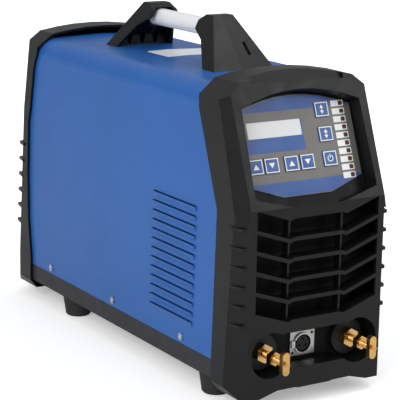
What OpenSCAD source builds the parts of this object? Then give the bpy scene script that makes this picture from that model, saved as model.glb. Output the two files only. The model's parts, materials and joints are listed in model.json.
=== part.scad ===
// Inverter welding power source: sheet-metal case between two moulded end bezels, bar handle on top.
// X is across the machine, the operator's panel faces -Y, Z is up from the floor under the feet.

/* [Overall] */
// Length from the front bezel's face to the rear bezel's face
body_l = 528; // [500:1:560]
// Width of the bezels at their foot
bezel_w = 194; // [190:1:200]
// Width of the cover at its bottom edge
cover_w = 186; // [182:1:188]
// Height of the cover's top sheet
cover_top = 329; // [326:1:331]
// Inward lean of the cover's sides
side_lean = 1.4; // [1.2:0.1:2]
// How far the output studs stand out of the front face
stud_out = 31; // [29:0.5:34]

/* [Sheet metal] */
// Thickness of the cover sheet
cover_t = 1.5; // [1.2:0.1:1.6]
// Height of the underside of the tray
tray_z = 25; // [23:0.5:27]
// Height of the cover's bottom edge
cover_z = 45.5; // [44:0.5:48]
// Number of louvres in each side
louvre_n = 13; // [10:1:13]
// Length of one louvre
louvre_l = 89; // [80:1:95]

/* [Bezels] */
// Height of the bezels' underside
bezel_z = 14; // [12:1:16]
// Top of the bezel's arch
arch_z = 342; // [340:1:345]
// Height at which the front face starts to lean back
bend_z = 213; // [211:1:215]
// Lean of the upper front face
tilt = 21; // [19:0.5:22]
// Depth of the connector recess
recess_d = 25; // [23:1:27]
// Depth of the rear bezel's window, face to rear inner panel
rear_recess = 40; // [38:1:42]
// Top of the grille at its middle
grille_top = 201; // [199:1:202]
// Distance from one grille bar to the next
grille_pitch = 21.4; // [20.5:0.1:21.6]

/* [Handle] */
// Height of the handle bar's axis
bar_z = 367.5; // [365:0.5:370]
// Radius of the handle bar
bar_r = 10; // [9:0.5:10.5]

/* [Terminals and keys] */
// Distance from the middle to an output stud
terminal_x = 55; // [54:0.5:56]
// Height of the output studs and the control socket
terminal_z = 58; // [57:0.5:59]
// Radius of an output stud
stud_r = 4; // [3.5:0.25:4.5]
// Travel of a panel key
key_travel = 0.8; // [0.5:0.1:1]

/* [Hidden] */
$fn = 48;

front_y = stud_out - (body_l + stud_out) / 2;
rear_y = front_y + body_l;
mid_y = (front_y + rear_y) / 2;
lean = tan(side_lean);
eps = 0.01;

// Colours
blue = "#466FB0";
charcoal = "#2E3033";
black = "#17181A";
brass = "#C9923F";
steel = "#C6C8CA";
copper = "#B4693A";
board_green = "#24553A";

// ---- Helpers ----
// A polygon of [y, z] points, extruded across the machine
module across(w, x0 = undef) {
    translate([is_undef(x0) ? -w / 2 : x0, 0, 0])
        rotate([90, 0, 90]) linear_extrude(w) children();
}
// A polygon of [x, z] points, extruded from y0 over a depth d
module along(y0, d) {
    translate([0, y0 + d, 0]) rotate([90, 0, 0]) linear_extrude(d) children();
}
// The leaning upper front face: x across, z up the face, +y into the machine
module on_face() {
    translate([0, front_y, bend_z]) rotate([-tilt, 0, 0]) children();
}
module mirrored_x() {
    children();
    mirror([1, 0, 0]) children();
}
// A cylinder along Y, from y0 over a depth d
module rod(r, y0, d, x = 0, z = 0, sides = 48) {
    translate([x, y0 + d, z]) rotate([90, 0, 0]) cylinder(r = r, h = d, $fn = sides);
}
module box(x0, x1, y0, y1, z0, z1) {
    translate([x0, y0, z0]) cube([x1 - x0, y1 - y0, z1 - z0]);
}
function arc(cx, cy, r, a0, a1, n) =
    [for (i = [0:n]) [cx + r * cos(a0 + (a1 - a0) * i / n), cy + r * sin(a0 + (a1 - a0) * i / n)]];
function flip(pts) = [for (i = [len(pts) - 1:-1:0]) [-pts[i][0], pts[i][1]]];

// ---- Case section ----
bend_r = 22;
crown = 2;
// Half width of the cover at height z, grown by g
function side_x(z, g) = cover_w / 2 - (z - cover_z) * lean + g / cos(side_lean);
// Right half of the cover's outline, from z0 up, grown by g
function cover_half(z0, g) =
    let (r = bend_r + g, top = cover_top + g, cz = top - r)
    let (cx = side_x(cz, g) - r / cos(side_lean))
    concat([[side_x(z0, g), z0]], arc(cx, cz, r, side_lean, 88, 8), [[0, top + crown]]);
function cover_outline(z0, g) = concat(cover_half(z0, g), flip(cover_half(z0, g)));

bezel_half = [[bezel_w / 2 - 9, bezel_z], [bezel_w / 2, bezel_z + 11],
    [bezel_w / 2 - 7, arch_z - 23], [70, arch_z - 7],
    [46, arch_z - 3], [23, arch_z - 0.7], [0, arch_z]];
bezel_outline = concat([[-20, bezel_z + 5], [20, bezel_z + 5], [24, bezel_z + 6],
    [46, bezel_z + 6], [68, bezel_z]], bezel_half, flip(bezel_half),
    [[-68, bezel_z], [-46, bezel_z + 6], [-24, bezel_z + 6]]);

// Side views of the bezels as [distance in from the face, height], wall w taken off the face
band = 49.5;
module front_side_view(w) {
    back = w > 0 ? 140 : 0;
    rise = 350 - bend_z;
    translate([front_y, 0]) polygon([[w, 0], [w, bend_z + w * 0.2],
        [w * 1.1 + rise * tan(tilt), 350], [94 + back, 350], [91 + back, 305],
        [band + back, 206], [band + back, 0]]);
}
// The rear face leans in two steps, [height, angle] where each begins
rear_lean = [[60, 4.5], [243, 11]];
rear_step = (rear_lean[1][0] - rear_lean[0][0]) * tan(rear_lean[0][1]);
module rear_side_view(w) {
    back = w > 0 ? 140 : 0;
    top = rear_step + (350 - rear_lean[1][0]) * tan(rear_lean[1][1]);
    translate([rear_y, 0]) polygon([[-w, 0], [-w, rear_lean[0][0]],
        [-w - rear_step, rear_lean[1][0]], [-w - top, 350], [-70 - back, 350], [-63 - back, 312],
        [-54.4 - back, 293], [-46 - back, 240], [-42 - back, 224], [-42 - back, 160],
        [-46 - back, 100], [-55 - back, 53], [-55 - back, 0]]);
}
face_half = 83.5;
chamfer_d = 27;
chamfer_w = 14;
// Takes the vertical corners off a bezel, or with g set, the same corner g deeper
module corner_cut(g = 0) {
    x0 = face_half - g * 1.13;
    reach = 30;
    linear_extrude(400, center = true)
        polygon([[x0, -1], [x0, 0], [x0 + reach, reach * chamfer_d / chamfer_w], [x0 + reach, -1]]);
}
module front_corners(g = 0) {
    mirrored_x() {
        translate([0, front_y, 0]) corner_cut(g);
        on_face() corner_cut(g);
    }
}
module rear_corners(g = 0) {
    mirrored_x() translate([0, rear_y, 0]) {
        mirror([0, 1, 0]) corner_cut(g);
        for (i = [0, 1]) translate([0, -i * rear_step, rear_lean[i][0]])
            rotate([rear_lean[i][1], 0, 0]) mirror([0, 1, 0]) corner_cut(g);
    }
}
module bezel_fin(z) {
    fin_t = 3.5;
    translate([0, 0, z - fin_t / 2]) linear_extrude(fin_t)
        polygon([[83, 3.5], [91, 4.5], [94.3, 20], [94.3, 23], [92.5, 23]]);
}
fin_n = 6;
fin_z = 93;
fin_pitch = 20.2;
// Fins up both corners; the face they stand on leans by the angle a from height z0
module bezel_fins(z0 = 0, a = 0) {
    for (i = [0:fin_n - 1])
        let (z = fin_z + i * fin_pitch)
        mirrored_x() translate([0, (z - z0) * tan(a), 0]) bezel_fin(z);
}

// ---- Control panel, in the leaning face's own axes ----
panel_e = 18.7;
panel_top = 120;
panel_arc = [for (i = [-4:4]) [i * 18.35, panel_top - 15.5 * pow(i / 4, 2)]];
function panel_opening(g) = [for (p = concat([[76, 17], [75.5, 11.5]], [[31.5, -0.5],
    [-31.5, -0.5]], [[-75.5, 11.5], [-76, 17]], panel_arc))
    [p[0] + sign(p[0]) * g, p[1] + (p[1] > 50 ? g : (p[1] < 12 ? -g : 0))]];
key_w = 17;
key_h = 15.6;
key_gap = 0.4;
keys = [[-58, 46.2], [-38.5, 46.2], [-14, 46.2], [6, 46.2], [35, 73], [35, 99], [35, 47]];
led_n = 10;
led_x = 60.5;
led_s = 27.6;
led_pitch = 8.5;
led_r = 2.3;
display_x = -27;
display_s = 83.4;
display_w = 66.5;
display_h = 17;
module key_holes(y0, d) {
    for (k = keys)
        box(k[0] - key_w / 2 - key_gap, k[0] + key_w / 2 + key_gap, y0, y0 + d,
            k[1] - key_h / 2 - key_gap, k[1] + key_h / 2 + key_gap);
}
module led_holes(y0, d) {
    for (i = [0:led_n - 1]) rod(led_r + 0.1, y0, d, led_x, led_s + i * led_pitch);
}
module panel_key(i) {
    rim = 0.9;
    color(blue) on_face() translate([keys[i][0], 0, keys[i][1]]) {
        box(-key_w / 2, key_w / 2, panel_e - 2.6, panel_e + 2.8, -key_h / 2, key_h / 2);
        box(-key_w / 2 - rim, key_w / 2 + rim, panel_e + 2.3, panel_e + 3.1,
            -key_h / 2 - rim, key_h / 2 + rim);
    }
}

// ---- Front bezel ----
recess_r = 24.5;
module recess_plan(g) {
    for (s = [-1, 1]) translate([s * terminal_x, terminal_z + 1]) circle(r = recess_r + g);
    translate([-terminal_x, terminal_z - 17 - g])
        square([2 * terminal_x, 39.5 + 2 * g]);
}
bar_half = 76;
bar_wing = 12;
// Height of a grille line at [x], middle height z
function chevron(z) = [[-bar_half, z + bar_wing], [-35, z - 2], [-30, z], [30, z], [35, z - 2],
    [bar_half, z + bar_wing]];
function chevron_band(z0, z1) = concat(chevron(z0), [for (i = [5:-1:0]) chevron(z1)[i]]);
bar_t = 4.2;
grille_n = 5;
function slot_top(k) = grille_top - k * grille_pitch - (k > 0 ? bar_t / 2 : 0);
function slot_low(k) = grille_top - (k + 1) * grille_pitch + (k < grille_n - 1 ? bar_t / 2 : 0);
bar_depth = 14;
grille_webs = 33;
lip = 2.6;
// The bezels' outline drawn in by the moulding's thickness, open below the cover
bezel_shell = [for (p = bezel_half) [p[0] - (p[0] > 0 ? lip : 0), p[1] - (p[1] > 50 ? lip : 0)]];
module bezel_hollow() {
    polygon(concat([[24, 19], [46, 19]], bezel_shell, flip(bezel_shell), [[-46, 19], [-24, 19]]));
}
module front_bezel() {
    color(charcoal) difference() {
        union() {
            difference() {
                intersection() {
                    along(front_y - 5, 140) polygon(bezel_outline);
                    across(220) front_side_view(0);
                }
                front_corners();
                difference() {
                    intersection() {
                        along(front_y - 5, 140) polygon(cover_outline(tray_z - 0.3, 0.3));
                        across(220) front_side_view(4);
                    }
                    front_corners(4);
                }
                // Gap round the cover behind the bezel's rear edge
                intersection() {
                    along(front_y + 20, 100) bezel_hollow();
                    across(220) translate([band - 9, 0]) front_side_view(0.01);
                }
            }
            translate([0, front_y, 0]) bezel_fins();
            // Tub that the control panel sits in
            intersection() {
                on_face() along(2, panel_e + 2) polygon(panel_opening(2.5));
                along(front_y + 1, 100) polygon(cover_outline(tray_z, -0.5));
            }
            // Walls round the connector recess
            along(front_y + 2, recess_d - 2) recess_plan(2.5);
            // Depth of the grille bars
            for (k = [0:grille_n])
                let (z = grille_top - k * grille_pitch)
                along(front_y + 2, bar_depth) polygon(chevron_band(z - bar_t / 2, z + bar_t / 2));
            mirrored_x() box(grille_webs - 1.2, grille_webs + 1.2, front_y + 6, front_y + 15,
                grille_top - grille_n * grille_pitch - 4, grille_top);
        }
        on_face() along(-60, 60 + panel_e + 2.05) polygon(panel_opening(0));
        // Inside the ledge that the carrier rests on
        on_face() along(panel_e, 10) polygon(panel_opening(-2));
        along(front_y - 5, recess_d + 10) recess_plan(0);
        for (k = [0:grille_n - 1]) difference() {
            along(front_y - 5, 40) polygon(chevron_band(slot_low(k), slot_top(k)));
            mirrored_x() box(grille_webs - 1.2, grille_webs + 1.2, front_y + 6, front_y + 15,
                0, 300);
        }
        // Scoop between the panel's lip and the arch
        across(116) translate([front_y, 0]) polygon([[30, 332], [46, 332], [51, 334],
            [60, 338.5], [70, arch_z + 1], [70, 360], [30, 360]]);
    }
}

// ---- Rear bezel ----
rear_window_half = 71;
rear_window_z0 = 40;
rear_window_z1 = 290;
module rear_bezel() {
    color(charcoal) difference() {
        union() {
            difference() {
                intersection() {
                    along(rear_y - 80, 90) polygon(bezel_outline);
                    across(220) rear_side_view(0);
                }
                rear_corners();
                difference() {
                    intersection() {
                        along(rear_y - 100, 110) polygon(cover_outline(tray_z - 0.3, 0.3));
                        across(220) rear_side_view(4);
                    }
                    rear_corners(3);
                }
                // Gap round the cover inside the bezel's front edge
                difference() {
                    intersection() {
                        along(rear_y - 80, 80) bezel_hollow();
                        across(220) translate([-12, 0]) rear_side_view(0.01);
                    }
                    rear_corners(3);
                }
            }
            translate([0, rear_y, 0]) mirror([0, 1, 0])
                bezel_fins(rear_lean[0][0], rear_lean[0][1]);
            intersection() {
                box(-rear_window_half - 3, rear_window_half + 3, rear_y - rear_recess, rear_y,
                    rear_window_z0 - 3, rear_window_z1 + 3);
                across(220) rear_side_view(0);
            }
        }
        box(-rear_window_half, rear_window_half, rear_y - 50, rear_y + 5,
            rear_window_z0, rear_window_z1);
    }
}

// ---- Chassis ----
flange_top = 62;
tray_y0 = front_y + recess_d + 2;
tray_y1 = rear_y - rear_recess - 2;
module base_tray() {
    t = 1.5;
    outer = cover_w / 2;
    half = outer - cover_t - 0.15;
    step_z = cover_z - 0.4;
    right = [[outer, tray_z], [outer, step_z], [half, step_z],
        [half - (flange_top - step_z) * lean, flange_top]];
    inner = [[half - t, tray_z + t], [half - t, step_z],
        [half - t - (flange_top + 1 - step_z) * lean, flange_top + 1]];
    color(charcoal) difference() {
        along(tray_y0, tray_y1 - tray_y0) difference() {
            polygon(concat(right, flip(right)));
            polygon(concat(inner, flip(inner)));
        }
        for (p = foot_places) translate([p[0], p[1], 0]) cylinder(r = 3, h = 50);
        for (y = cover_screw_y) translate([-150, y, cover_screw_z])
            rotate([0, 90, 0]) cylinder(r = 2.1, h = 300);
    }
}
cover_y0 = front_y + 32;
cover_y1 = rear_y - 26;
louvre_z0 = 74;
louvre_pitch = 10.45;
louvre_y = front_y + 94;
module louvre_marks(z) {
    // Pressed lip below the slot, leaning with the side
    translate([side_x(z, 0), 0, z]) rotate([0, -side_lean, 0])
        translate([0, louvre_y + louvre_l, 0]) rotate([90, 0, 0]) linear_extrude(louvre_l)
            polygon([[-0.4, 0], [2.4, 0], [-0.4, -6.5]]);
}
module louvre_slots(z) {
    translate([side_x(z, 0), 0, z]) rotate([0, -side_lean, 0])
        box(-4, 1.2, louvre_y + 1, louvre_y + louvre_l - 1, -0.6, 1);
}
module top_cover() {
    color(blue) difference() {
        union() {
            along(cover_y0, cover_y1 - cover_y0) difference() {
                polygon(cover_outline(cover_z, 0));
                polygon(cover_outline(cover_z - 1, -cover_t));
            }
            for (i = [0:louvre_n - 1]) mirrored_x() louvre_marks(louvre_z0 + i * louvre_pitch);
        }
        // The front edge leans back to clear the panel's tub
        across(240) polygon([[cover_y0 - 5, 190], [cover_y0, 190],
            [cover_y0 + 160 * tan(tilt), 350], [cover_y0 - 5, 350]]);
        // and the rear edge follows the rear bezel's leaning face
        across(240) polygon([[cover_y1 + 5, rear_lean[0][0]], [cover_y1, rear_lean[0][0]],
            [cover_y1 - rear_step, rear_lean[1][0]],
            [cover_y1 - rear_step - (350 - rear_lean[1][0]) * tan(rear_lean[1][1]), 350],
            [cover_y1 + 5, 350]]);
        for (i = [0:louvre_n - 1]) mirrored_x() louvre_slots(louvre_z0 + i * louvre_pitch);
        for (y = cover_screw_y) translate([-150, y, cover_screw_z])
            rotate([0, 90, 0]) cylinder(r = 2.2, h = 300);
        for (p = tower_bolt_places) translate([p[0], p[1], 300]) cylinder(r = 2.6, h = 50);
    }
}
cover_screw_z = 53;
cover_screw_y = [front_y + 115, front_y + 266, front_y + 421];
module cover_screws() {
    head_r = 4;
    color(steel) for (y = cover_screw_y) mirrored_x()
        translate([side_x(cover_screw_z, 0), y, cover_screw_z])
            rotate([0, 90 - side_lean, 0]) {
            translate([0, 0, 0.1]) cylinder(r = head_r, h = 1.4);
            translate([0, 0, 1.5 - eps]) cylinder(r = head_r * 0.7, h = 0.8);
            translate([0, 0, -9]) cylinder(r = 1.9, h = 9.2);
        }
}
module front_inner_panel() {
    color(black) difference() {
        along(plate_y, 1.5) intersection() {
            polygon(cover_outline(tray_z + 2, -1.8));
            translate([-100, 0]) square([200, 212.4]);
        }
        box(-15, -8, front_y, front_y + 60, terminal_z - 4.8, terminal_z + 4.8);
        for (s = [-1, 1]) rod(7, front_y, 60, s * terminal_x, terminal_z);
        rod(11.6, front_y, 60, 0, terminal_z);
        // Air slots, one row behind each grille bar
        for (k = [0:grille_n - 1]) mirrored_x()
            box(1.5, 30, front_y, front_y + 60, slot_top(k) - 6, slot_top(k) + 1);
    }
}
module rear_inner_panel() {
    half = 74.5;
    y0 = rear_y - rear_recess - 1.5;
    color(charcoal) difference() {
        box(-half, half, y0, y0 + 1.5, tray_z + 2, 307.5);
        rod(fan_bore, y0 - 10, 30, 0, fan_z);
        box(switch_x - 11, switch_x + 11, y0 - 10, y0 + 10, switch_z - 15, switch_z + 15);
        rod(gland_thread_r + 0.1, y0 - 10, 30, gland_x, gland_z);
        rod(3.1, y0 - 10, 30, earth_x, earth_z);
        for (s = [-1, 1]) for (t = [-1, 1])
            rod(2.2, y0 - 10, 30, s * fan_hole, fan_z + t * fan_hole);
    }
}

// ---- Control panel pieces ----
module panel_carrier() {
    color(black) on_face() difference() {
        along(panel_e, 2) polygon(panel_opening(-0.4));
        key_holes(panel_e - 1, 5);
        led_holes(panel_e - 1, 5);
        box(display_x - display_w / 2, display_x + display_w / 2, panel_e - 1, panel_e + 5,
            display_s - display_h / 2, display_s + display_h / 2);
    }
}
overlay_half = 72;
module panel_overlay() {
    top = [for (i = [-4:4]) [-i * overlay_half / 4, panel_top - 2.5 - 14.5 * pow(i / 4, 2)]];
    color("#6E6A62") on_face() difference() {
        along(panel_e - 1.2, 1.2) polygon(concat([[-overlay_half, 27], [-30.5, 12.5],
            [30.5, 12.5], [overlay_half, 27]], top));
        key_holes(panel_e - 3, 5);
        led_holes(panel_e - 3, 5);
        box(display_x - display_w / 2, display_x + display_w / 2, panel_e - 3, panel_e + 5,
            display_s - display_h / 2, display_s + display_h / 2);
    }
}
module display_window() {
    color("#D8D8D2", 0.6) on_face()
        box(display_x - display_w / 2 + 0.1, display_x + display_w / 2 - 0.1, panel_e - 1,
            panel_e + 1.5, display_s - display_h / 2 + 0.1, display_s + display_h / 2 - 0.1);
}
board_e = panel_e + 13;
module display_module() {
    color("#2B3A2F") on_face() {
        box(display_x - 36, display_x + 36, panel_e + 2.2, panel_e + 9,
            display_s - 12, display_s + 12);
        box(display_x - 40, display_x + 40, panel_e + 9, panel_e + 10.6,
            display_s - 15, display_s + 15);
    }
}
module control_board() {
    color(board_green) on_face() {
        difference() {
            box(-64, 66, board_e, board_e + 1.6, 20, 108);
            for (x = [-60, 51]) for (s = [24, 102]) rod(1.6, board_e - 5, 20, x, s);
        }
        // Tactile switches behind the keys
        for (k = keys)
            box(k[0] - 3, k[0] + 3, panel_e + 4.2, board_e, k[1] - 3, k[1] + 3);
        // Pillars to the carrier
        for (x = [-60, 51]) for (s = [24, 102])
            rod(3, panel_e + 2, board_e - panel_e - 2, x, s);
        box(-30, 6, board_e + 1.6, board_e + 6, 32, 56);
    }
}
module indicator_leds() {
    color("#5A1216") on_face() for (i = [0:led_n - 1]) {
        rod(led_r, panel_e - 2, 12, led_x, led_s + i * led_pitch);
    }
}

// ---- Output terminals ----
plate_y = front_y + recess_d;
insulator_t = 6;
base_hex_t = 8;
nut_y = front_y - 8;
nut_t = 7;
bar_y = front_y - 27;
clamp_bar_t = 6;
stud_tip = front_y - stud_out;
tip_r = 2.2;
run_gap = 0.08;
module hex_along(af, y0, d, x) {
    translate([x, y0 + d, terminal_z]) rotate([90, 0, 0]) rotate([0, 0, 30])
        cylinder(r = af / sqrt(3), h = d, $fn = 6);
}
module terminal_insulators() {
    color(black) for (s = [-1, 1]) difference() {
        union() {
            rod(19.5, plate_y - insulator_t, insulator_t, s * terminal_x, terminal_z);
            rod(6.8, plate_y - eps, 8, s * terminal_x, terminal_z);
            rod(16, plate_y + 1.6, 5, s * terminal_x, terminal_z);
        }
        rod(stud_r + 0.05, plate_y - 20, 40, s * terminal_x, terminal_z);
    }
}
module terminal_hex_bases() {
    color(brass) for (s = [-1, 1]) difference() {
        hex_along(18, plate_y - insulator_t - base_hex_t, base_hex_t, s * terminal_x);
        rod(stud_r + 0.05, plate_y - 30, 40, s * terminal_x, terminal_z);
    }
}
module terminal_studs() {
    color(brass) for (s = [-1, 1]) {
        rod(stud_r, bar_y + clamp_bar_t + 0.4, plate_y + 34 - bar_y - clamp_bar_t - 0.4,
            s * terminal_x, terminal_z);
        rod(tip_r, stud_tip, 12, s * terminal_x, terminal_z);
    }
}
module terminal_lock_nuts() {
    color(brass) for (s = [-1, 1]) difference() {
        hex_along(13, plate_y + 16.1, 6.5, s * terminal_x);
        rod(stud_r + 0.05, plate_y, 40, s * terminal_x, terminal_z);
    }
}
module clamp_nut(s) {
    color(brass) difference() {
        hex_along(13, nut_y, nut_t, s * terminal_x);
        rod(stud_r + run_gap, nut_y - 1, nut_t + 2, s * terminal_x, terminal_z);
    }
}
module clamp_bar(s) {
    w = 8.4;
    h = 24.6;
    color(brass) difference() {
        union() {
            box(s * terminal_x - w / 2, s * terminal_x + w / 2, bar_y, bar_y + clamp_bar_t,
                terminal_z - h / 2 + w / 2, terminal_z + h / 2 - w / 2);
            for (t = [-1, 1])
                rod(w / 2, bar_y, clamp_bar_t, s * terminal_x, terminal_z + t * (h - w) / 2);
        }
        rod(tip_r + run_gap, bar_y - 1, clamp_bar_t + 2, s * terminal_x, terminal_z);
    }
}

// ---- Control socket ----
socket_w = 31;
socket_h = 26;
insert_r = 9.6;
module control_socket_shell() {
    color(steel) difference() {
        union() {
            box(-socket_w / 2, socket_w / 2, plate_y - 2, plate_y - 0.05,
                terminal_z - socket_h / 2, terminal_z + socket_h / 2);
            rod(11.4, plate_y - 4, 24, 0, terminal_z);
        }
        rod(insert_r + 0.1, plate_y - 20, 60, 0, terminal_z);
        box(-14.6, -9, plate_y - 5, plate_y + 6, terminal_z - 4.2, terminal_z + 4.2);
        for (s = [-1, 1]) rod(1.6, plate_y - 5, 20, s * 12.2, terminal_z + s * 9.7);
    }
}
module control_socket_insert() {
    color(black) difference() {
        union() {
            rod(7.9, plate_y - 3, 22, 0, terminal_z);
            rod(insert_r, plate_y + 11, 8, 0, terminal_z);
        }
        for (a = [90, 210, 330])
            rod(1.3, plate_y - 5, 16, 4.6 * cos(a), terminal_z + 4.6 * sin(a), 24);
    }
}
module socket_latch() {
    color(steel) box(-14.2, -10.2, plate_y - 4, plate_y + 0.6, terminal_z - 3.8,
        terminal_z + 3.8);
}

// ---- Handle ----
tower_d = 137;
tower_base_half = 41;
tower_base_z = cover_top - 3;
tower_top_z = 384;
// Side view of the front tower as [distance from the front face, height]
tower_side = [[tower_d, tower_base_z], [tower_d + 50, tower_top_z - 1],
    [tower_d + 53, tower_top_z], [tower_d + 66, tower_top_z], [tower_d + 77, tower_top_z - 7],
    [tower_d + 77, tower_top_z - 16], [tower_d + 57, tower_top_z - 26],
    [tower_d + 28, tower_base_z]];
tower_slope = atan(50 / 57);
tower_hollow = [[tower_d + 10, tower_base_z - 1], [tower_d + 51.5, tower_top_z - 15],
    [tower_d + 51.5, tower_top_z - 5], [tower_d + 90, tower_top_z - 5],
    [tower_d + 90, tower_base_z + 3], [tower_d + 8, tower_base_z + 3]];
module tower_front_view(g) {
    polygon([[-tower_base_half + g, tower_base_z - 1], [tower_base_half - g, tower_base_z - 1],
        [13 - g * 0.8, tower_top_z - g], [-13 + g * 0.8, tower_top_z - g]]);
}
module tower() {
    color(charcoal) difference() {
        union() {
            difference() {
                intersection() {
                    translate([0, front_y, 0]) across(100) polygon(tower_side);
                    along(front_y + 100, 150) tower_front_view(0);
                }
                intersection() {
                    translate([0, front_y, 0]) across(100) polygon(tower_hollow);
                    along(front_y + 100, 150) tower_front_view(3.5);
                }
            }
            // Row of gussets that closes the foot of the hollow side
            along(front_y + tower_d + 23, 3) {
                for (i = [-1.5:1.5]) translate([i * 17.5, tower_base_z])
                    polygon([[-8.5, 1], [8.5, 1], [0.8, 29], [-0.8, 29]]);
                translate([-38, tower_base_z + 1]) square([76, 5]);
            }
            // Boss round the end of the bar
            rod(bar_r + 2.2, front_y + tower_d + 49, 9, 0, bar_z);
        }
        // The base follows the crowned top sheet
        along(front_y + 100, 150) polygon(concat([[-60, 200], [60, 200]],
            [[60, cover_top + 0.15], [0, cover_top + crown + 0.15], [-60, cover_top + 0.15]]));
        rod(bar_r + 0.05, front_y + tower_d + 52, 60, 0, bar_z);
        // The outer wall is creased down its middle and slotted beside the crease
        translate([0, front_y + tower_d, tower_base_z]) rotate([-tower_slope, 0, 0])
            linear_extrude(260, center = true)
                polygon([[-4, 0], [60, 4.8], [60, -40], [-60, -40], [-60, 4.8]]);
        translate([11, front_y + tower_d - 20, cover_top + 15])
            rotate([0, -8, 0]) cube([4.5, 60, 13]);
        for (p = tower_bolt_places) if (p[1] < mid_y)
            translate([p[0], p[1], 250]) cylinder(r = 2.6, h = 90);
    }
}
module mirrored_y() {
    translate([0, 2 * mid_y, 0]) mirror([0, 1, 0]) children();
}
module front_tower() { tower(); }
module rear_tower() { mirrored_y() tower(); }
module handle_bar() {
    y0 = front_y + tower_d + 52.5;
    color("#E4E5E6") rod(bar_r, y0, 2 * (mid_y - y0), 0, bar_z);
}
tower_bolt_places = [for (s = [-1, 1]) for (t = [-1, 1])
    [s * 31, mid_y + t * (mid_y - front_y - tower_d - 19)]];
module tower_bolts() {
    color(steel) for (p = tower_bolt_places) translate([p[0], p[1], 0]) {
        translate([0, 0, cover_top - 16]) cylinder(r = 2.4, h = 18);
        translate([0, 0, cover_top - cover_t - 4.4]) cylinder(r = 4.6, h = 3.5, $fn = 6);
    }
}
// Height of the cover's top, x from its middle
crown_x = side_x(cover_top - bend_r, 0) - bend_r / cos(side_lean) + bend_r * cos(88);
function crown_z(x) = cover_top + crown * (1 - x / crown_x);
module top_label() {
    color("#ECECEA") along(mid_y - 4, 48)
        polygon([[-26, crown_z(26) + 0.03], [0, crown_z(0) + 0.03], [55, crown_z(55) + 0.03],
            [55, crown_z(55) + 0.35], [0, crown_z(0) + 0.35], [-26, crown_z(26) + 0.35]]);
}

// ---- Feet ----
foot_places = [for (s = [-1, 1]) for (y = [front_y + 77, front_y + 391]) [s * 72, y]];
foot_h = tray_z;
module feet() {
    color(black) for (p = foot_places) translate([p[0], p[1], 0]) difference() {
        rotate_extrude() polygon([[0, 0], [13.6, 0], [15.2, 1.6], [18.8, foot_h], [0, foot_h]]);
        translate([0, 0, -1]) cylinder(r = 5.5, h = 12);
        cylinder(r = 2.6, h = 60);
    }
}
module foot_screws() {
    color(steel) for (p = foot_places) translate([p[0], p[1], 0]) {
        translate([0, 0, 8]) cylinder(r = 4.4, h = 3);
        translate([0, 0, 11 - eps]) cylinder(r = 2.5, h = 24);
        translate([0, 0, tray_z + 1.6]) cylinder(r = 4.6, h = 3.4, $fn = 6);
    }
}

// ---- Rear fittings ----
fan_z = 232;
fan_bore = 57;
fan_hole = 52.5;
fan_size = 120;
fan_y1 = rear_y - rear_recess - 1.6;
fan_d = 38;
module fan_frame() {
    half = fan_size / 2;
    back_y = fan_y1 - fan_d;
    color(black) {
        difference() {
            box(-half, half, back_y, fan_y1, fan_z - half, fan_z + half);
            rod(fan_bore, back_y - 1, fan_d + 2, 0, fan_z);
            for (s = [-1, 1]) for (t = [-1, 1])
                rod(2.2, back_y - 1, fan_d + 2, s * fan_hole, fan_z + t * fan_hole);
        }
        rod(19, back_y + 0.6, 5, 0, fan_z);
        for (a = [45:90:315]) translate([0, back_y, fan_z]) rotate([0, a, 0])
            box(14, fan_bore + 3, 1.2, 4.6, -2.5, 2.5);
        rod(3, back_y + 3, 17, 0, fan_z);
    }
}
fan_blades = 7;
module fan_rotor() {
    hub_r = 20;
    y0 = fan_y1 - fan_d + 8;
    color("#222427") {
        difference() {
            rod(hub_r, y0, 24, 0, fan_z);
            rod(3 + run_gap, y0 - 1, 16, 0, fan_z);
        }
        for (i = [0:fan_blades - 1]) translate([0, y0 + 12, fan_z])
            rotate([0, i * 360 / fan_blades, 0]) translate([hub_r - 2, 0, 0])
                rotate([38, 0, 0]) box(0, 34, -1.2, 1.2, -13, 13);
    }
}
guard_t = 2;
module fan_guard() {
    y0 = rear_y - rear_recess + 5;
    color(steel) {
        for (r = [12:10:52]) translate([0, y0 + guard_t, fan_z]) rotate([90, 0, 0])
            difference() {
                cylinder(r = r + 1, h = guard_t);
                translate([0, 0, -1]) cylinder(r = r - 1, h = guard_t + 2);
            }
        for (a = [45:90:315]) translate([0, 0, fan_z]) rotate([0, a, 0])
            box(10, 72, y0 + 0.4, y0 + 1.6, -1, 1);
        for (s = [-1, 1]) for (t = [-1, 1]) difference() {
            union() {
                rod(5, y0, guard_t, s * fan_hole, fan_z + t * fan_hole);
                rod(2.1, y0 - 12, 12, s * fan_hole, fan_z + t * fan_hole);
                rod(3.6, y0 - 4.9, 5, s * fan_hole, fan_z + t * fan_hole);
            }
        }
    }
}
switch_x = 40;
switch_z = 128;
rocker_axis_y = rear_y - rear_recess + 3;
rocker_swing = 18;
module power_switch_body() {
    y0 = rear_y - rear_recess;
    color(black) difference() {
        union() {
            box(switch_x - 14, switch_x + 14, y0 + 0.05, y0 + 3.5, switch_z - 18, switch_z + 18);
            box(switch_x - 10.8, switch_x + 10.8, y0 - 28, y0 + 1, switch_z - 14.8,
                switch_z + 14.8);
        }
        box(switch_x - 8, switch_x + 8, y0 - 14, y0 + 5, switch_z - 13.6, switch_z + 13.6);
    }
    color(black) for (s = [-1, 1]) translate([switch_x + s * 8 - 1.2, rocker_axis_y - 3, switch_z])
        rotate([0, 90, 0]) cylinder(r = 1.4, h = 2.4);
}
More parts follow.
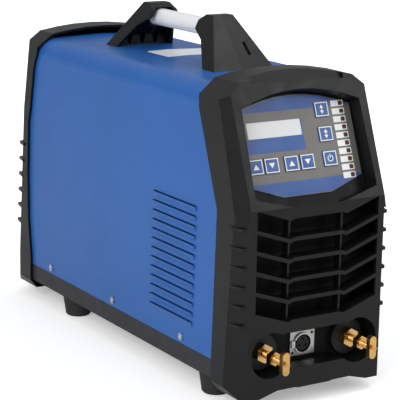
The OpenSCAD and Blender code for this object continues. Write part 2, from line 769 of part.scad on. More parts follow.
module power_switch_rocker() {
    half = 7.6;
    color("#8E1C1C") translate([switch_x, rocker_axis_y - 3, switch_z])
        rotate([rocker_swing / 2, 0, 0]) difference() {
            across(2 * half) polygon([[5.8, -11.4], [3, 0], [5.8, 11.4], [-3, 9.5], [-6, 0],
                [-3, -9.5]]);
            for (s = [-1, 1]) translate([s * half - 1, 0, 0]) rotate([0, 90, 0])
                cylinder(r = 1.4 + run_gap, h = 2);
        }
}
gland_x = -38;
gland_z = 84;
gland_thread_r = 12.5;
gland_bore = 7.5;
module mains_gland() {
    y0 = rear_y - rear_recess;
    color(black) difference() {
        union() {
            translate([gland_x, y0 + 5, gland_z]) rotate([90, 0, 0])
                cylinder(r = 17, h = 5, $fn = 6);
            rod(14, y0 + 4, 13.1, gland_x, gland_z);
            translate([gland_x, y0 + 17, gland_z]) rotate([-90, 0, 0])
                cylinder(r1 = 14, r2 = 10.5, h = 6);
            rod(gland_thread_r, y0 - 12, 13, gland_x, gland_z);
            translate([gland_x, y0 - 1.6, gland_z]) rotate([90, 0, 0])
                cylinder(r = 17, h = 5, $fn = 6);
        }
        rod(gland_bore, y0 - 20, 60, gland_x, gland_z);
    }
}
earth_x = 6;
earth_z = 66;
module earth_stud() {
    y0 = rear_y - rear_recess;
    color(brass) {
        rod(3, y0 - 8, 24, earth_x, earth_z);
        translate([earth_x, y0 + 4.1, earth_z]) rotate([90, 0, 0])
            cylinder(r = 6, h = 4, $fn = 6);
        translate([earth_x, y0 - 1.6, earth_z]) rotate([90, 0, 0])
            cylinder(r = 6, h = 4, $fn = 6);
    }
}

// ---- Power electronics ----
board_z = 168;
board_y0 = front_y + 120;
board_l = 250;
module power_board() {
    color(board_green) difference() {
        box(-72, 72, board_y0, board_y0 + board_l, board_z, board_z + 2);
        for (x = [-64, 64]) for (y = [board_y0 + 10, board_y0 + board_l - 10])
            translate([x, y, 0]) cylinder(r = 2.1, h = 400);
    }
}
module board_standoffs() {
    color(steel) for (x = [-64, 64]) for (y = [board_y0 + 10, board_y0 + board_l - 10])
        translate([x, y, tray_z + 1.5]) {
            cylinder(r = 4, h = board_z - tray_z - 1.5, $fn = 6);
            cylinder(r = 2, h = board_z - tray_z + 6);
        }
}
cap_r = 17.5;
module capacitors() {
    color("#20242C") for (i = [0:4]) for (s = [-1, 1])
        translate([s * 46, board_y0 + 34 + i * 38, board_z + 2]) cylinder(r = cap_r, h = 50);
}
sink_z0 = 96;
sink_base = 8;
module heatsink() {
    fins = 15;
    w = 108;
    color("#AEB2B6") union() {
        box(-w / 2, w / 2, board_y0 + 14, board_y0 + board_l - 14, sink_z0 + 46 - sink_base,
            sink_z0 + 46);
        for (i = [0:fins - 1])
            let (x = -w / 2 + i * (w - 2) / (fins - 1))
            box(x, x + 2, board_y0 + 14, board_y0 + board_l - 14, sink_z0, sink_z0 + 46);
    }
}
module chip_row(x, n, w, l, h, pitch) {
    for (i = [0:n - 1])
        box(x - w / 2, x + w / 2, board_y0 + 26 + i * pitch, board_y0 + 26 + i * pitch + l,
            sink_z0 + 46, sink_z0 + 46 + h);
}
module igbt_modules() {
    color(black) chip_row(-30, 4, 26, 40, 20, 52);
}
module diode_modules() {
    color("#3A3D40") chip_row(30, 4, 24, 36, 20, 52);
}
core_y = front_y + 330;
module transformer_core() {
    color("#3C3F42") difference() {
        box(-34, 34, core_y, core_y + 70, tray_z + 1.5, tray_z + 66);
        box(-22, -10, core_y - 1, core_y + 71, tray_z + 14, tray_z + 54);
        box(10, 22, core_y - 1, core_y + 71, tray_z + 14, tray_z + 54);
    }
}
module transformer_winding() {
    color(copper) difference() {
        box(-21.5, 21.5, core_y - 11, core_y + 81, tray_z + 16, tray_z + 52);
        box(-10.3, 10.3, core_y - 0.3, core_y + 70.3, tray_z + 10, tray_z + 60);
    }
}
coil_y = front_y + 200;
module inductor_core() {
    color("#4A4D50") difference() {
        translate([0, coil_y, tray_z + 1.5]) cylinder(r = 40, h = 50);
        translate([0, coil_y, tray_z]) cylinder(r = 18, h = 60);
    }
}
module inductor_winding() {
    turns = 16;
    color(copper) for (i = [0:turns - 1]) translate([0, coil_y, 0])
        rotate([0, 0, i * 360 / turns]) difference() {
            box(13, 45, -2, 2, tray_z + 1.6, tray_z + 56);
            box(17.8, 40.2, -3, 3, tray_z + 1, tray_z + 51.8);
        }
}
// Rails that carry the heatsink
module heatsink_rails() {
    color(steel) mirrored_x()
        box(50, 52, board_y0 + 14, board_y0 + board_l - 14, tray_z + 1.6, sink_z0 - 0.05);
}
// Copper bars from the studs: the left one to the inductor, the right one to the diodes
bus_y0 = plate_y + 12;
module busbar_left() {
    top = tray_z + 59.3;
    color(copper) difference() {
        union() {
            box(-65, -45, bus_y0, bus_y0 + 4, terminal_z - 12, top);
            box(-65, -45, bus_y0, front_y + 76, top - 3, top);
            box(-65, -30, front_y + 60, front_y + 76, top - 3, top);
            box(-44, -30, front_y + 60, coil_y - 22, top - 3, top);
        }
        rod(stud_r + 0.05, bus_y0 - 5, 20, -terminal_x, terminal_z);
    }
}
module busbar_right() {
    top = board_z - 2;
    color(copper) difference() {
        union() {
            box(45, 65, bus_y0, bus_y0 + 4, terminal_z - 12, top);
            box(45, 58, bus_y0, board_y0 + 54, top - 3, top);
            box(20, 58, board_y0 + 28, board_y0 + 54, top - 3, top);
        }
        rod(stud_r + 0.05, bus_y0 - 5, 20, terminal_x, terminal_z);
    }
}

base_tray();
top_cover();
front_bezel();
rear_bezel();
front_inner_panel();
rear_inner_panel();
panel_carrier();
panel_overlay();
display_window();
display_module();
control_board();
indicator_leds();
panel_key(0);  // key_current_up
panel_key(1);  // key_current_down
panel_key(2);  // key_time_up
panel_key(3);  // key_time_down
panel_key(4);  // key_mode
panel_key(5);  // key_program
panel_key(6);  // key_power
terminal_insulators();
terminal_hex_bases();
terminal_studs();
clamp_nut(-1);  // clamp_nut_left
clamp_nut(1);  // clamp_nut_right
clamp_bar(-1);  // clamp_bar_left
clamp_bar(1);  // clamp_bar_right
control_socket_shell();
control_socket_insert();
socket_latch();
front_tower();
rear_tower();
handle_bar();
tower_bolts();
cover_screws();
feet();
foot_screws();
top_label();
fan_frame();
fan_rotor();
fan_guard();
power_switch_body();
power_switch_rocker();
mains_gland();
earth_stud();
power_board();
board_standoffs();
capacitors();
heatsink();
igbt_modules();
diode_modules();
transformer_core();
transformer_winding();
inductor_core();
inductor_winding();
busbar_left();
busbar_right();
heatsink_rails();
terminal_lock_nuts();
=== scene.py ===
import json
import math

import bmesh
import bpy
from mathutils import Matrix, Vector


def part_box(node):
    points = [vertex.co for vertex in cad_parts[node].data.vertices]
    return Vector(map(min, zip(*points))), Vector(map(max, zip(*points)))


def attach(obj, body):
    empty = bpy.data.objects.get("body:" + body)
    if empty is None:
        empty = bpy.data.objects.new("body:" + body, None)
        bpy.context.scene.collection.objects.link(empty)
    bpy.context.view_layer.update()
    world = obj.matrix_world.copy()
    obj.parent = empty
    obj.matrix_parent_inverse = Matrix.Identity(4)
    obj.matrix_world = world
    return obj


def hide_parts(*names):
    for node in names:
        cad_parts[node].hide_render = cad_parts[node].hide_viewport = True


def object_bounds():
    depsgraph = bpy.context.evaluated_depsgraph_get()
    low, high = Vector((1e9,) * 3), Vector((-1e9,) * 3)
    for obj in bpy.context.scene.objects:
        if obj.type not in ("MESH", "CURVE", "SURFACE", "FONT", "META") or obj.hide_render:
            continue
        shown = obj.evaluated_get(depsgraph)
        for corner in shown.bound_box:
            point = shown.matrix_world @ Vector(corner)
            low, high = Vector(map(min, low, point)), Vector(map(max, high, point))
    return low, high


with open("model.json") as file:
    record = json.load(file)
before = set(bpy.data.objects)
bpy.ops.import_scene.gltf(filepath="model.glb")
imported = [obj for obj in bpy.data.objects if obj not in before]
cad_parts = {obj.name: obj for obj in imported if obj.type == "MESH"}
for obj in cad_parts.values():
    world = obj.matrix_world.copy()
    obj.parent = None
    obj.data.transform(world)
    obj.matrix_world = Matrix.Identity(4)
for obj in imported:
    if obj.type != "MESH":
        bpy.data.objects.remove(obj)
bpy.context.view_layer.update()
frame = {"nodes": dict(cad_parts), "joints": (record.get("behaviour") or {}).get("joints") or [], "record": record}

NODES = frame["nodes"]
JOINT = {j["name"]: j for j in frame["joints"]}
BODY_OF = {n: b for b, ns in frame["record"]["behaviour"]["bodies"].items() for n in ns}
MM = 0.001


# ---------------------------------------------------------------- materials
def linear(rgb):
    """Screen colour, 0 to 1, as the linear value Blender wants."""
    return tuple(c / 12.92 if c <= 0.04045 else ((c + 0.055) / 1.055) ** 2.4 for c in rgb)


def shade(rgb, k):
    return (*[max(0.0, min(1.0, c * k)) for c in linear(rgb)], 1.0)


def material(name, rgb, rough, spread=0.08, metal=0.0, tint=0.10, grain=900.0, bump=0.08,
             wear=0.0, wear_rgb=(0.6, 0.6, 0.6), coat=0.0, stretch=(1, 1, 1), depth=0.0002,
             gloss=0.5):
    """Base colour that drifts a little, uneven roughness, fine grain in the bump, rubbed edges."""
    m = bpy.data.materials.new(name)
    m.use_nodes = True
    nt = m.node_tree
    p = nt.nodes["Principled BSDF"]
    link = nt.links.new

    def node(kind, **values):
        n = nt.nodes.new(kind)
        for k, v in values.items():
            if k in n.inputs:
                n.inputs[k].default_value = v
            else:
                setattr(n, k, v)
        return n

    where = node("ShaderNodeTexCoord")
    scale = node("ShaderNodeMapping")
    scale.inputs["Scale"].default_value = stretch
    link(where.outputs["Object"], scale.inputs["Vector"])
    broad = node("ShaderNodeTexNoise", Scale=9.0, Detail=5.0, Roughness=0.6)
    fine = node("ShaderNodeTexNoise", Scale=grain, Detail=3.0, Roughness=0.55)
    smear = node("ShaderNodeTexNoise", Scale=55.0, Detail=6.0, Roughness=0.65)
    link(where.outputs["Object"], broad.inputs["Vector"])
    link(where.outputs["Object"], smear.inputs["Vector"])
    link(scale.outputs["Vector"], fine.inputs["Vector"])

    ramp = node("ShaderNodeValToRGB")
    ramp.color_ramp.elements[0].position = 0.3
    ramp.color_ramp.elements[1].position = 0.7
    ramp.color_ramp.elements[0].color = shade(rgb, 1 - tint)
    ramp.color_ramp.elements[1].color = shade(rgb, 1 + tint)
    link(broad.outputs["Fac"], ramp.inputs["Fac"])
    colour = ramp.outputs["Color"]

    if wear > 0:
        geometry = node("ShaderNodeNewGeometry")
        edge = node("ShaderNodeMapRange")
        for k, v in (("From Min", 0.53), ("From Max", 0.62), ("To Min", 0.0), ("To Max", wear)):
            edge.inputs[k].default_value = v
        link(geometry.outputs["Pointiness"], edge.inputs["Value"])
        rubbed = node("ShaderNodeMath", operation="MULTIPLY")
        link(edge.outputs["Result"], rubbed.inputs[0])
        link(smear.outputs["Fac"], rubbed.inputs[1])
        mix = node("ShaderNodeMix", data_type="RGBA")
        link(rubbed.outputs[0], mix.inputs[0])
        link(colour, mix.inputs[6])
        mix.inputs[7].default_value = shade(wear_rgb, 1.0)
        colour = mix.outputs[2]
    link(colour, p.inputs["Base Color"])

    uneven = node("ShaderNodeMapRange")
    for k, v in (("From Min", 0.25), ("From Max", 0.75), ("To Min", max(0.02, rough - spread)),
                 ("To Max", min(1.0, rough + spread))):
        uneven.inputs[k].default_value = v
    link(smear.outputs["Fac"], uneven.inputs["Value"])
    link(uneven.outputs["Result"], p.inputs["Roughness"])

    relief = node("ShaderNodeBump", Strength=bump, Distance=depth)
    link(fine.outputs["Fac"], relief.inputs["Height"])
    link(relief.outputs["Normal"], p.inputs["Normal"])
    p.inputs["Metallic"].default_value = metal
    p.inputs["Specular IOR Level"].default_value = gloss
    p.inputs["Coat Weight"].default_value = coat
    p.inputs["Coat Roughness"].default_value = 0.12
    return m


M = {
    "cover_paint": material("cover_paint", (0.13, 0.35, 0.63), 0.36, 0.06, tint=0.05, grain=520,
                            bump=0.05, gloss=0.3),
    "tray_paint": material("tray_paint", (0.17, 0.17, 0.18), 0.5, 0.1, grain=700,
                           bump=0.15, gloss=0.25),
    "bezel_plastic": material("bezel_plastic", (0.055, 0.058, 0.062), 0.37, 0.08, tint=0.16,
                              grain=1500, bump=0.35, gloss=0.24),
    "panel_paint": material("panel_paint", (0.045, 0.045, 0.05), 0.6, 0.1, grain=800,
                            bump=0.2, gloss=0.15),
    "carrier_plastic": material("carrier_plastic", (0.07, 0.07, 0.075), 0.5, 0.1, grain=1300,
                                bump=0.25, gloss=0.2),
    "overlay_film": material("overlay_film", (0.36, 0.35, 0.335), 0.42, 0.08, tint=0.06,
                             grain=1900, bump=0.12, coat=0.15),
    "display_glass": material("display_glass", (0.73, 0.74, 0.75), 0.16, 0.05, tint=0.05,
                              grain=300, bump=0.02, coat=0.2),
    "display_board": material("display_board", (0.17, 0.30, 0.22), 0.5, 0.1, bump=0.1),
    "board_laminate": material("board_laminate", (0.10, 0.34, 0.22), 0.45, 0.1, bump=0.1),
    "led_lens": material("led_lens", (0.30, 0.05, 0.06), 0.4, 0.06, tint=0.12, grain=300,
                         bump=0.04, gloss=0.3),
    "key_plastic": material("key_plastic", (0.14, 0.31, 0.56), 0.38, 0.07, tint=0.05,
                            grain=1500, bump=0.1),
    "insulator_plastic": material("insulator_plastic", (0.09, 0.09, 0.095), 0.42, 0.1,
                                  grain=1300, bump=0.25, gloss=0.25),
    "terminal_brass": material("terminal_brass", (0.76, 0.57, 0.31), 0.26, 0.1, metal=1.0,
                               tint=0.22, grain=420, bump=0.10, stretch=(1, 6, 1), wear=0.6,
                               wear_rgb=(0.97, 0.85, 0.60)),
    "socket_metal": material("socket_metal", (0.68, 0.68, 0.67), 0.32, 0.1, metal=1.0,
                             tint=0.14, grain=900, bump=0.12, wear=0.4, wear_rgb=(0.85,) * 3),
    "bar_metal": material("bar_metal", (0.87, 0.88, 0.89), 0.34, 0.06, metal=0.0, tint=0.04,
                          grain=700, bump=0.05, stretch=(1, 0.1, 1), coat=0.3),
    "fastener_steel": material("fastener_steel", (0.75, 0.76, 0.78), 0.26, 0.08, metal=1.0,
                               tint=0.1, grain=900, bump=0.1),
    "foot_rubber": material("foot_rubber", (0.12, 0.12, 0.12), 0.72, 0.1, tint=0.2, grain=1200,
                            bump=0.5),
    "label_film": material("label_film", (0.88, 0.89, 0.90), 0.4, 0.06, tint=0.03, grain=1500,
                           bump=0.05),
    "fan_plastic": material("fan_plastic", (0.12, 0.12, 0.125), 0.48, 0.1, grain=1200,
                            bump=0.25),
    "guard_steel": material("guard_steel", (0.70, 0.71, 0.72), 0.3, 0.1, metal=1.0, tint=0.1,
                            grain=900, bump=0.1),
    "rocker_plastic": material("rocker_plastic", (0.55, 0.10, 0.10), 0.3, 0.07, tint=0.06,
                               grain=1300, bump=0.08),
    "capacitor_sleeve": material("capacitor_sleeve", (0.13, 0.15, 0.20), 0.3, 0.08, bump=0.05),
    "heatsink_metal": material("heatsink_metal", (0.72, 0.73, 0.75), 0.38, 0.1, metal=1.0,
                               tint=0.1, grain=700, bump=0.15, stretch=(1, 0.05, 1)),
    "ferrite": material("ferrite", (0.22, 0.23, 0.24), 0.6, 0.1, bump=0.3),
    "winding_copper": material("winding_copper", (0.74, 0.42, 0.27), 0.35, 0.1, metal=1.0,
                               tint=0.15, grain=500, bump=0.2),
}
INK_WHITE = material("ink_white", (0.88, 0.89, 0.88), 0.42, 0.06, tint=0.03, grain=1600,
                     bump=0.05)
INK_BLUE = material("ink_blue", (0.13, 0.30, 0.56), 0.4, 0.07, tint=0.05, grain=1700,
                    bump=0.1)

SLOTS = {r["node"]: r["material_slot"] for r in frame["record"]["subparts"]}
for name, obj in NODES.items():
    obj.data.materials.clear()
    obj.data.materials.append(M[SLOTS[name]])

# Edge rounding for each piece, in mm
ROUND = {
    "front_bezel": 1.0, "rear_bezel": 1.2, "front_tower": 1.2, "rear_tower": 1.2,
    "top_cover": 0.3, "base_tray": 0.3, "feet": 1.0, "clamp_bar_left": 0.7,
    "clamp_bar_right": 0.7, "clamp_nut_left": 0.5, "clamp_nut_right": 0.5,
    "terminal_hex_bases": 0.6, "terminal_insulators": 0.6, "control_socket_shell": 0.5,
    "control_socket_insert": 0.3, "socket_latch": 0.4, "cover_screws": 0.35,
    "power_switch_body": 0.6, "power_switch_rocker": 0.5, "mains_gland": 0.6,
    "earth_stud": 0.3, "fan_guard": 0.4, "fan_frame": 0.6, "handle_bar": 0.3,
    "panel_overlay": 0.15, "display_window": 0.2, "capacitors": 0.8,
}
for name, obj in NODES.items():
    width = 0.35 if name.startswith("key_") else ROUND.get(name)
    if width is None:
        continue
    bevel = obj.modifiers.new("rounded", "BEVEL")
    bevel.width = width * MM
    bevel.segments = 2
    bevel.limit_method = "ANGLE"
    bevel.angle_limit = math.radians(28)
    bevel.use_clamp_overlap = True
    bevel.harden_normals = False


# ---------------------------------------------------------------- the leaning panel
into = Vector(JOINT["key_power_press"]["axis"]).normalized()
out = -into
right = Vector((1, 0, 0))
up = into.cross(right) * -1
if up.z < 0:
    up = -up
lcd_lo, lcd_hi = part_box("display_window")
lcd_mid = (lcd_lo + lcd_hi) / 2


def face_depth(node):
    """How far out a node's front stands along the panel's normal."""
    return max(v.co.dot(out) for v in NODES[node].data.vertices)


def span(node, axis):
    """Low and high reach of a node along a direction."""
    values = [v.co.dot(axis) for v in NODES[node].data.vertices]
    return min(values), max(values)


def panel_matrix(x, s, d):
    """Axes of the panel, placed x across, s up it, d out of it."""
    turn = Matrix((right, up, out)).transposed().to_4x4()
    return Matrix.Translation(right * x + up * s + out * d) @ turn


def plate(name, outline, thick, place, mat, body):
    """A flat printed or moulded piece: an outline in mm, made solid, put in place."""
    bm = bmesh.new()
    for ring in outline:
        verts = [bm.verts.new((x * MM, y * MM, 0)) for x, y in ring]
        bm.faces.new(verts)
    made = bmesh.ops.extrude_face_region(bm, geom=bm.faces[:])
    moved = [g for g in made["geom"] if isinstance(g, bmesh.types.BMVert)]
    bmesh.ops.translate(bm, verts=moved, vec=(0, 0, thick * MM))
    bmesh.ops.recalc_face_normals(bm, faces=bm.faces[:])
    mesh = bpy.data.meshes.new(name)
    bm.to_mesh(mesh)
    bm.free()
    mesh.transform(place)
    obj = bpy.data.objects.new(name, mesh)
    bpy.context.scene.collection.objects.link(obj)
    mesh.materials.append(mat)
    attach(obj, body)
    return obj


def rect(x0, x1, y0, y1):
    return [(x0, y0), (x1, y0), (x1, y1), (x0, y1)]


def frame_strips(hw, hh, w):
    """A hollow rectangle as four strips that meet at the corners."""
    return [rect(-hw, hw, hh - w, hh), rect(-hw, hw, -hh, -hh + w),
            rect(-hw, -hw + w, -hh + w, hh - w), rect(hw - w, hw, -hh + w, hh - w)]


def arrow(sign, y, size):
    return [(-size, y - sign * size * 0.75), (size, y - sign * size * 0.75),
            (0, y + sign * size * 0.75)][::1 if sign > 0 else -1]


def ring_strips(r, w, a0, a1, n):
    """Part of a ring as small quads."""
    out_quads = []
    for i in range(n):
        p, q = (math.radians(a0 + (a1 - a0) * k / n) for k in (i, i + 1))
        out_quads.append([((r - w) * math.cos(p), (r - w) * math.sin(p)),
                          (r * math.cos(p), r * math.sin(p)),
                          (r * math.cos(q), r * math.sin(q)),
                          ((r - w) * math.cos(q), (r - w) * math.sin(q))])
    return out_quads


ICONS = {
    "key_current_up": [arrow(1, 0, 3.6)],
    "key_current_down": [arrow(-1, 0, 3.6)],
    "key_time_up": [arrow(1, 0, 3.6)],
    "key_time_down": [arrow(-1, 0, 3.6)],
    "key_mode": [arrow(1, 3.1, 2.4), arrow(-1, -3.1, 2.4), rect(-0.5, 0.5, -1.4, 1.4)],
    "key_program": [arrow(1, 3.1, 2.4), arrow(-1, -3.1, 2.4), rect(-0.5, 0.5, -1.4, 1.4)],
    "key_power": ring_strips(3.6, 0.9, 125, 415, 18) + [rect(-0.45, 0.45, 0.6, 4.4)],
}
for key, icon in ICONS.items():
    kx = (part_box(key)[0].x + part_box(key)[1].x) / 2
    d = face_depth(key)
    front = [v.co for v in NODES[key].data.vertices if v.co.dot(out) > d - 1e-4]
    ks = (min(c.dot(up) for c in front) + max(c.dot(up) for c in front)) / 2
    hw = (max(c.x for c in front) - min(c.x for c in front)) / 2 / MM
    hh = (max(c.dot(up) for c in front) - min(c.dot(up) for c in front)) / 2 / MM
    place = panel_matrix(kx, ks, d)
    plate(f"{key}_print", frame_strips(hw - 0.35, hh - 0.35, 1.0) + icon, 0.06, place, INK_WHITE,
          BODY_OF[key])

# Printed bands on the overlay, just over its face
face = face_depth("panel_overlay")
s_min, s_max = span("panel_overlay", up)
s_low, s_top = s_min / MM, s_max / MM
film_lo, film_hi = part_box("panel_overlay")
lcd_s = lcd_mid.dot(up) / MM
lcd_x1 = lcd_hi.x / MM
lcd_h = (span("display_window", up)[1] - span("display_window", up)[0]) / MM
key_tops = [max(v.co.dot(up) for v in NODES[k].data.vertices) / MM
            for k in ("key_current_up", "key_program")]
# Sizes of the printing, mm
BAND_T = 0.05             # thickness of the blue
WHITE_OVER_BLUE = 0.06    # the white is this much thicker
EDGE_GAP = 0.5            # from the film's edge
KEY_GAP = 0.3             # from a key
TOP_GAP = 0.8             # from the film's top
ARCH_DROP = 14.5          # the top edge falls this much from the middle to the side
ABOVE_DISPLAY = 10.0      # from the display to the top band
LOW_BAND = 15.5           # height of the low band at the sides
V_HALF, V_RISE = 30.3, 14.4    # the flat of its lower edge, and its rise to the sides
SIDE_BAND = 1.6           # strip beside the display
half = (film_hi.x - film_lo.x) / 2 / MM - EDGE_GAP
place = panel_matrix(0, 0, face)
program_lo, program_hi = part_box("key_program")


def arch(x, top, drop):
    return top - drop * (x / half) ** 2


# Blue across the top of the film, round the upper right key
band_s = lcd_s + lcd_h / 2 + ABOVE_DISPLAY
steps = 12
gap_x0, gap_x1 = program_lo.x / MM - KEY_GAP, program_hi.x / MM + KEY_GAP
top_s = max(key_tops) + KEY_GAP


def arched(x0, x1, floor_s):
    xs = [x1 + (x0 - x1) * i / steps for i in range(steps + 1)]
    return [(x0, floor_s), (x1, floor_s)] + [(x, arch(x, s_top - TOP_GAP, ARCH_DROP)) for x in xs]


top_band = [arched(-half, gap_x0, band_s), arched(gap_x0, gap_x1, top_s),
            arched(gap_x1, half, band_s)]
low_top = s_low + LOW_BAND + 0.1
low_band = [(-half, s_low + V_RISE), (-V_HALF, s_low + EDGE_GAP), (V_HALF, s_low + EDGE_GAP),
            (half, s_low + V_RISE), (half, low_top), (-half, low_top)]
lcd_low = lcd_s - lcd_h / 2 - 0.1
below = key_tops[0] + 4.5
surround = [rect(-half, lcd_x1 + SIDE_BAND, below, lcd_low),
            rect(lcd_x1 + 0.1, lcd_x1 + SIDE_BAND, lcd_low, lcd_s + lcd_h / 2)]
plate("panel_print_blue", top_band + [low_band] + surround, BAND_T, place, INK_BLUE, "case")

# Blank white strips beside the indicators
led_lo, led_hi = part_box("indicator_leds")
led_x = (led_lo.x + led_hi.x) / 2 / MM
INDICATORS = 10
STRIP_HALF = 3.2          # half height of a strip, mm
STRIP_OUT = 12.0          # its reach to the left of the indicator's middle, mm
STRIP_IN = 3.8            # and to the right
LENS_GAP = 0.2
led_d = (led_hi.x - led_lo.x) / MM
first = [v.co.dot(up) / MM for v in NODES["indicator_leds"].data.vertices
         if v.co.dot(out) > face_depth("indicator_leds") - 1e-4]
s_first, s_last = min(first) + led_d / 2, max(first) - led_d / 2
strips = []
lens_x0, lens_x1 = led_x - led_d / 2 - LENS_GAP, led_x + led_d / 2 + LENS_GAP
for i in range(INDICATORS):
    s = s_first + (s_last - s_first) * i / (INDICATORS - 1)
    low, high = s - STRIP_HALF, s + STRIP_HALF
    strips.append(rect(led_x - STRIP_OUT, lens_x0, low, high))
    strips.append(rect(lens_x1, led_x + STRIP_IN, low, high))
    strips.append(rect(lens_x0, lens_x1, s + led_d / 2, high))
    strips.append(rect(lens_x0, lens_x1, low, s - led_d / 2))
plate("panel_print_white", strips, BAND_T + WHITE_OVER_BLUE, place, INK_WHITE, "case")


# ---------------------------------------------------------------- threaded studs
def threaded(name, node, pitch, depth, slot, body):
    """Stands in for plain stud cylinders: same ends and radius, with a cut helix."""
    verts = [v.co for v in NODES[node].data.vertices]
    pieces = []
    for side in (-1, 1):
        own = [c for c in verts if c.x * side > 0]
        x = (min(c.x for c in own) + max(c.x for c in own)) / 2
        z = (min(c.z for c in own) + max(c.z for c in own)) / 2
        y_front = min(c.y for c in own)
        r_big = max(c.x for c in own) - x
        tip = [c for c in own if abs(c.y - y_front) < 1e-5]
        r_tip = max((Vector((c.x - x, c.z - z))).length for c in tip)
        shoulder = min(c.y for c in own if Vector((c.x - x, c.z - z)).length > r_big * 0.98)
        y_back = max(c.y for c in own)
        pieces.append((x, z, y_front, shoulder, y_back, r_tip, r_big))
    bm = bmesh.new()
    seg = 28
    rings_per_turn = 6
    for x, z, y0, ys, y1, rt, rb in pieces:
        for a, b, r, p in ((y0, ys + 0.0002, rt, pitch * 0.65), (ys, y1, rb, pitch)):
            count = int((b - a) / p * rings_per_turn)
            rings = []
            for i in range(count + 1):
                y = a + (b - a) * i / count
                ring = []
                for k in range(seg):
                    t = 2 * math.pi * k / seg
                    phase = ((y - a) / p + k / seg) % 1.0
                    cut = depth * abs(phase * 2 - 1)
                    edge = min(y - a, b - y)
                    rr = r - cut * min(1.0, edge / (p * 0.8)) - (0.0003 if edge < 1e-6 else 0)
                    ring.append(bm.verts.new((x + rr * math.cos(t), y, z + rr * math.sin(t))))
                rings.append(ring)
            for p0, p1 in zip(rings, rings[1:]):
                for k in range(seg):
                    n = (k + 1) % seg
                    bm.faces.new((p0[k], p0[n], p1[n], p1[k]))
            bm.faces.new(rings[0])
            bm.faces.new(rings[-1][::-1])
    bmesh.ops.recalc_face_normals(bm, faces=bm.faces[:])
    mesh = bpy.data.meshes.new(name)
    bm.to_mesh(mesh)
    bm.free()
    obj = bpy.data.objects.new(name, mesh)
    bpy.context.scene.collection.objects.link(obj)
    mesh.materials.append(M[slot])
    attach(obj, body)
    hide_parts(node)
    return obj


threaded("threaded_studs", "terminal_studs", 0.00125, 0.00055, "terminal_brass", "case")


# ---------------------------------------------------------------- camera
# The view is set from the object: it looks from the front left, a little from above.
lo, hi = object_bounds()
AZ, EL, ROLL = (math.radians(v) for v in (32.07, 13.36, 1.0))
LENS_RATIO = 4.034        # focal length over sensor width
DISTANCE = 1.698          # metres from the control socket
SHIFT_X, SHIFT_Y = 0.2525, -0.355    # where the socket sits, in frame widths from the middle
ahead = Vector((math.sin(AZ) * math.cos(EL), math.cos(AZ) * math.cos(EL), -math.sin(EL)))
side = Vector((math.cos(AZ), -math.sin(AZ), 0))
above = side.cross(ahead)
cam_x = side * math.cos(ROLL) + above * math.sin(ROLL)
cam_y = -side * math.sin(ROLL) + above * math.cos(ROLL)
socket_lo, socket_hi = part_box("control_socket_shell")
target = Vector((0, socket_lo.y + 0.004, (socket_lo.z + socket_hi.z) / 2))
off_x, off_y = SHIFT_X / LENS_RATIO * DISTANCE, SHIFT_Y / LENS_RATIO * DISTANCE
camera = bpy.data.cameras.new("camera")
camera.sensor_width = 36.0
camera.lens = camera.sensor_width * LENS_RATIO
cam = bpy.data.objects.new("camera", camera)
bpy.context.scene.collection.objects.link(cam)
cam.location = target - ahead * DISTANCE - cam_x * off_x - cam_y * off_y
cam.rotation_euler = Matrix((cam_x, cam_y, -ahead)).transposed().to_euler()
bpy.context.scene.camera = cam


# ---------------------------------------------------------------- floor, light
centre = (lo + hi) / 2
bpy.ops.mesh.primitive_plane_add(size=60, location=(0, 0, lo.z - 0.0005))
floor = bpy.context.object
floor.name = "floor"
paper = bpy.data.materials.new("floor_paper")
paper.use_nodes = True
p = paper.node_tree.nodes["Principled BSDF"]
p.inputs["Base Color"].default_value = (0.93, 0.93, 0.93, 1)
p.inputs["Roughness"].default_value = 0.9
p.inputs["Specular IOR Level"].default_value = 0.1
p.inputs["Emission Color"].default_value = (1, 1, 1, 1)
p.inputs["Emission Strength"].default_value = 0.0
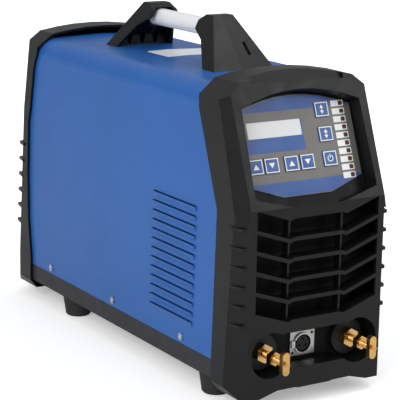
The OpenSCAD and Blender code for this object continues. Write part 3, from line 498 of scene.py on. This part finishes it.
# Lifts the paper to white where the camera sees it; near the object its shadow stays
nodes = paper.node_tree.nodes
seen_paper = nodes.new("ShaderNodeLightPath")
where = nodes.new("ShaderNodeTexCoord")
reach = nodes.new("ShaderNodeVectorMath")
reach.operation = "LENGTH"
fade = nodes.new("ShaderNodeMapRange")
for k, v in (("From Min", 0.25), ("From Max", 0.95), ("To Min", 0.34), ("To Max", 0.8)):
    fade.inputs[k].default_value = v
lift = nodes.new("ShaderNodeMath")
lift.operation = "MULTIPLY"
paper.node_tree.links.new(where.outputs["Object"], reach.inputs[0])
paper.node_tree.links.new(reach.outputs["Value"], fade.inputs["Value"])
paper.node_tree.links.new(fade.outputs["Result"], lift.inputs[1])
paper.node_tree.links.new(seen_paper.outputs["Is Camera Ray"], lift.inputs[0])
paper.node_tree.links.new(lift.outputs[0], p.inputs["Emission Strength"])
floor.data.materials.append(paper)


def lamp(name, spot, size, power, aim):
    data = bpy.data.lights.new(name, "AREA")
    data.shape = "RECTANGLE"
    data.size, data.size_y = size
    data.energy = power
    o = bpy.data.objects.new(name, data)
    bpy.context.scene.collection.objects.link(o)
    o.location = spot
    o.rotation_euler = (Vector(aim) - Vector(spot)).to_track_quat("-Z", "Y").to_euler()


lamp("key_lamp", (-1.9, -1.1, 1.3), (1.4, 1.4), 34, centre)
lamp("fill_lamp", (1.5, -2.0, 1.3), (0.9, 0.9), 11, centre)
lamp("top_lamp", (0.9, -0.5, 2.0), (0.9, 0.7), 8, centre)
world = bpy.data.worlds.new("studio")
bpy.context.scene.world = world
world.use_nodes = True
nt = world.node_tree
sky = nt.nodes["Background"]
sky.inputs["Color"].default_value = (1, 1, 1, 1)
# Bright overhead, dim at the horizon
ray = nt.nodes.new("ShaderNodeTexCoord")
parts = nt.nodes.new("ShaderNodeSeparateXYZ")
height = nt.nodes.new("ShaderNodeMapRange")
for k, v in (("From Min", -0.1), ("From Max", 0.9), ("To Min", 0.2), ("To Max", 0.75)):
    height.inputs[k].default_value = v
nt.links.new(ray.outputs["Generated"], parts.inputs[0])
nt.links.new(parts.outputs["Z"], height.inputs["Value"])
nt.links.new(height.outputs["Result"], sky.inputs["Strength"])
seen = nt.nodes.new("ShaderNodeBackground")
seen.inputs["Color"].default_value = (1, 1, 1, 1)
seen.inputs["Strength"].default_value = 1.0
mix = nt.nodes.new("ShaderNodeMixShader")
path = nt.nodes.new("ShaderNodeLightPath")
nt.links.new(path.outputs["Is Camera Ray"], mix.inputs["Fac"])
nt.links.new(sky.outputs[0], mix.inputs[1])
nt.links.new(seen.outputs[0], mix.inputs[2])
nt.links.new(mix.outputs[0], nt.nodes["World Output"].inputs["Surface"])
bpy.context.scene.view_settings.view_transform = "Standard"
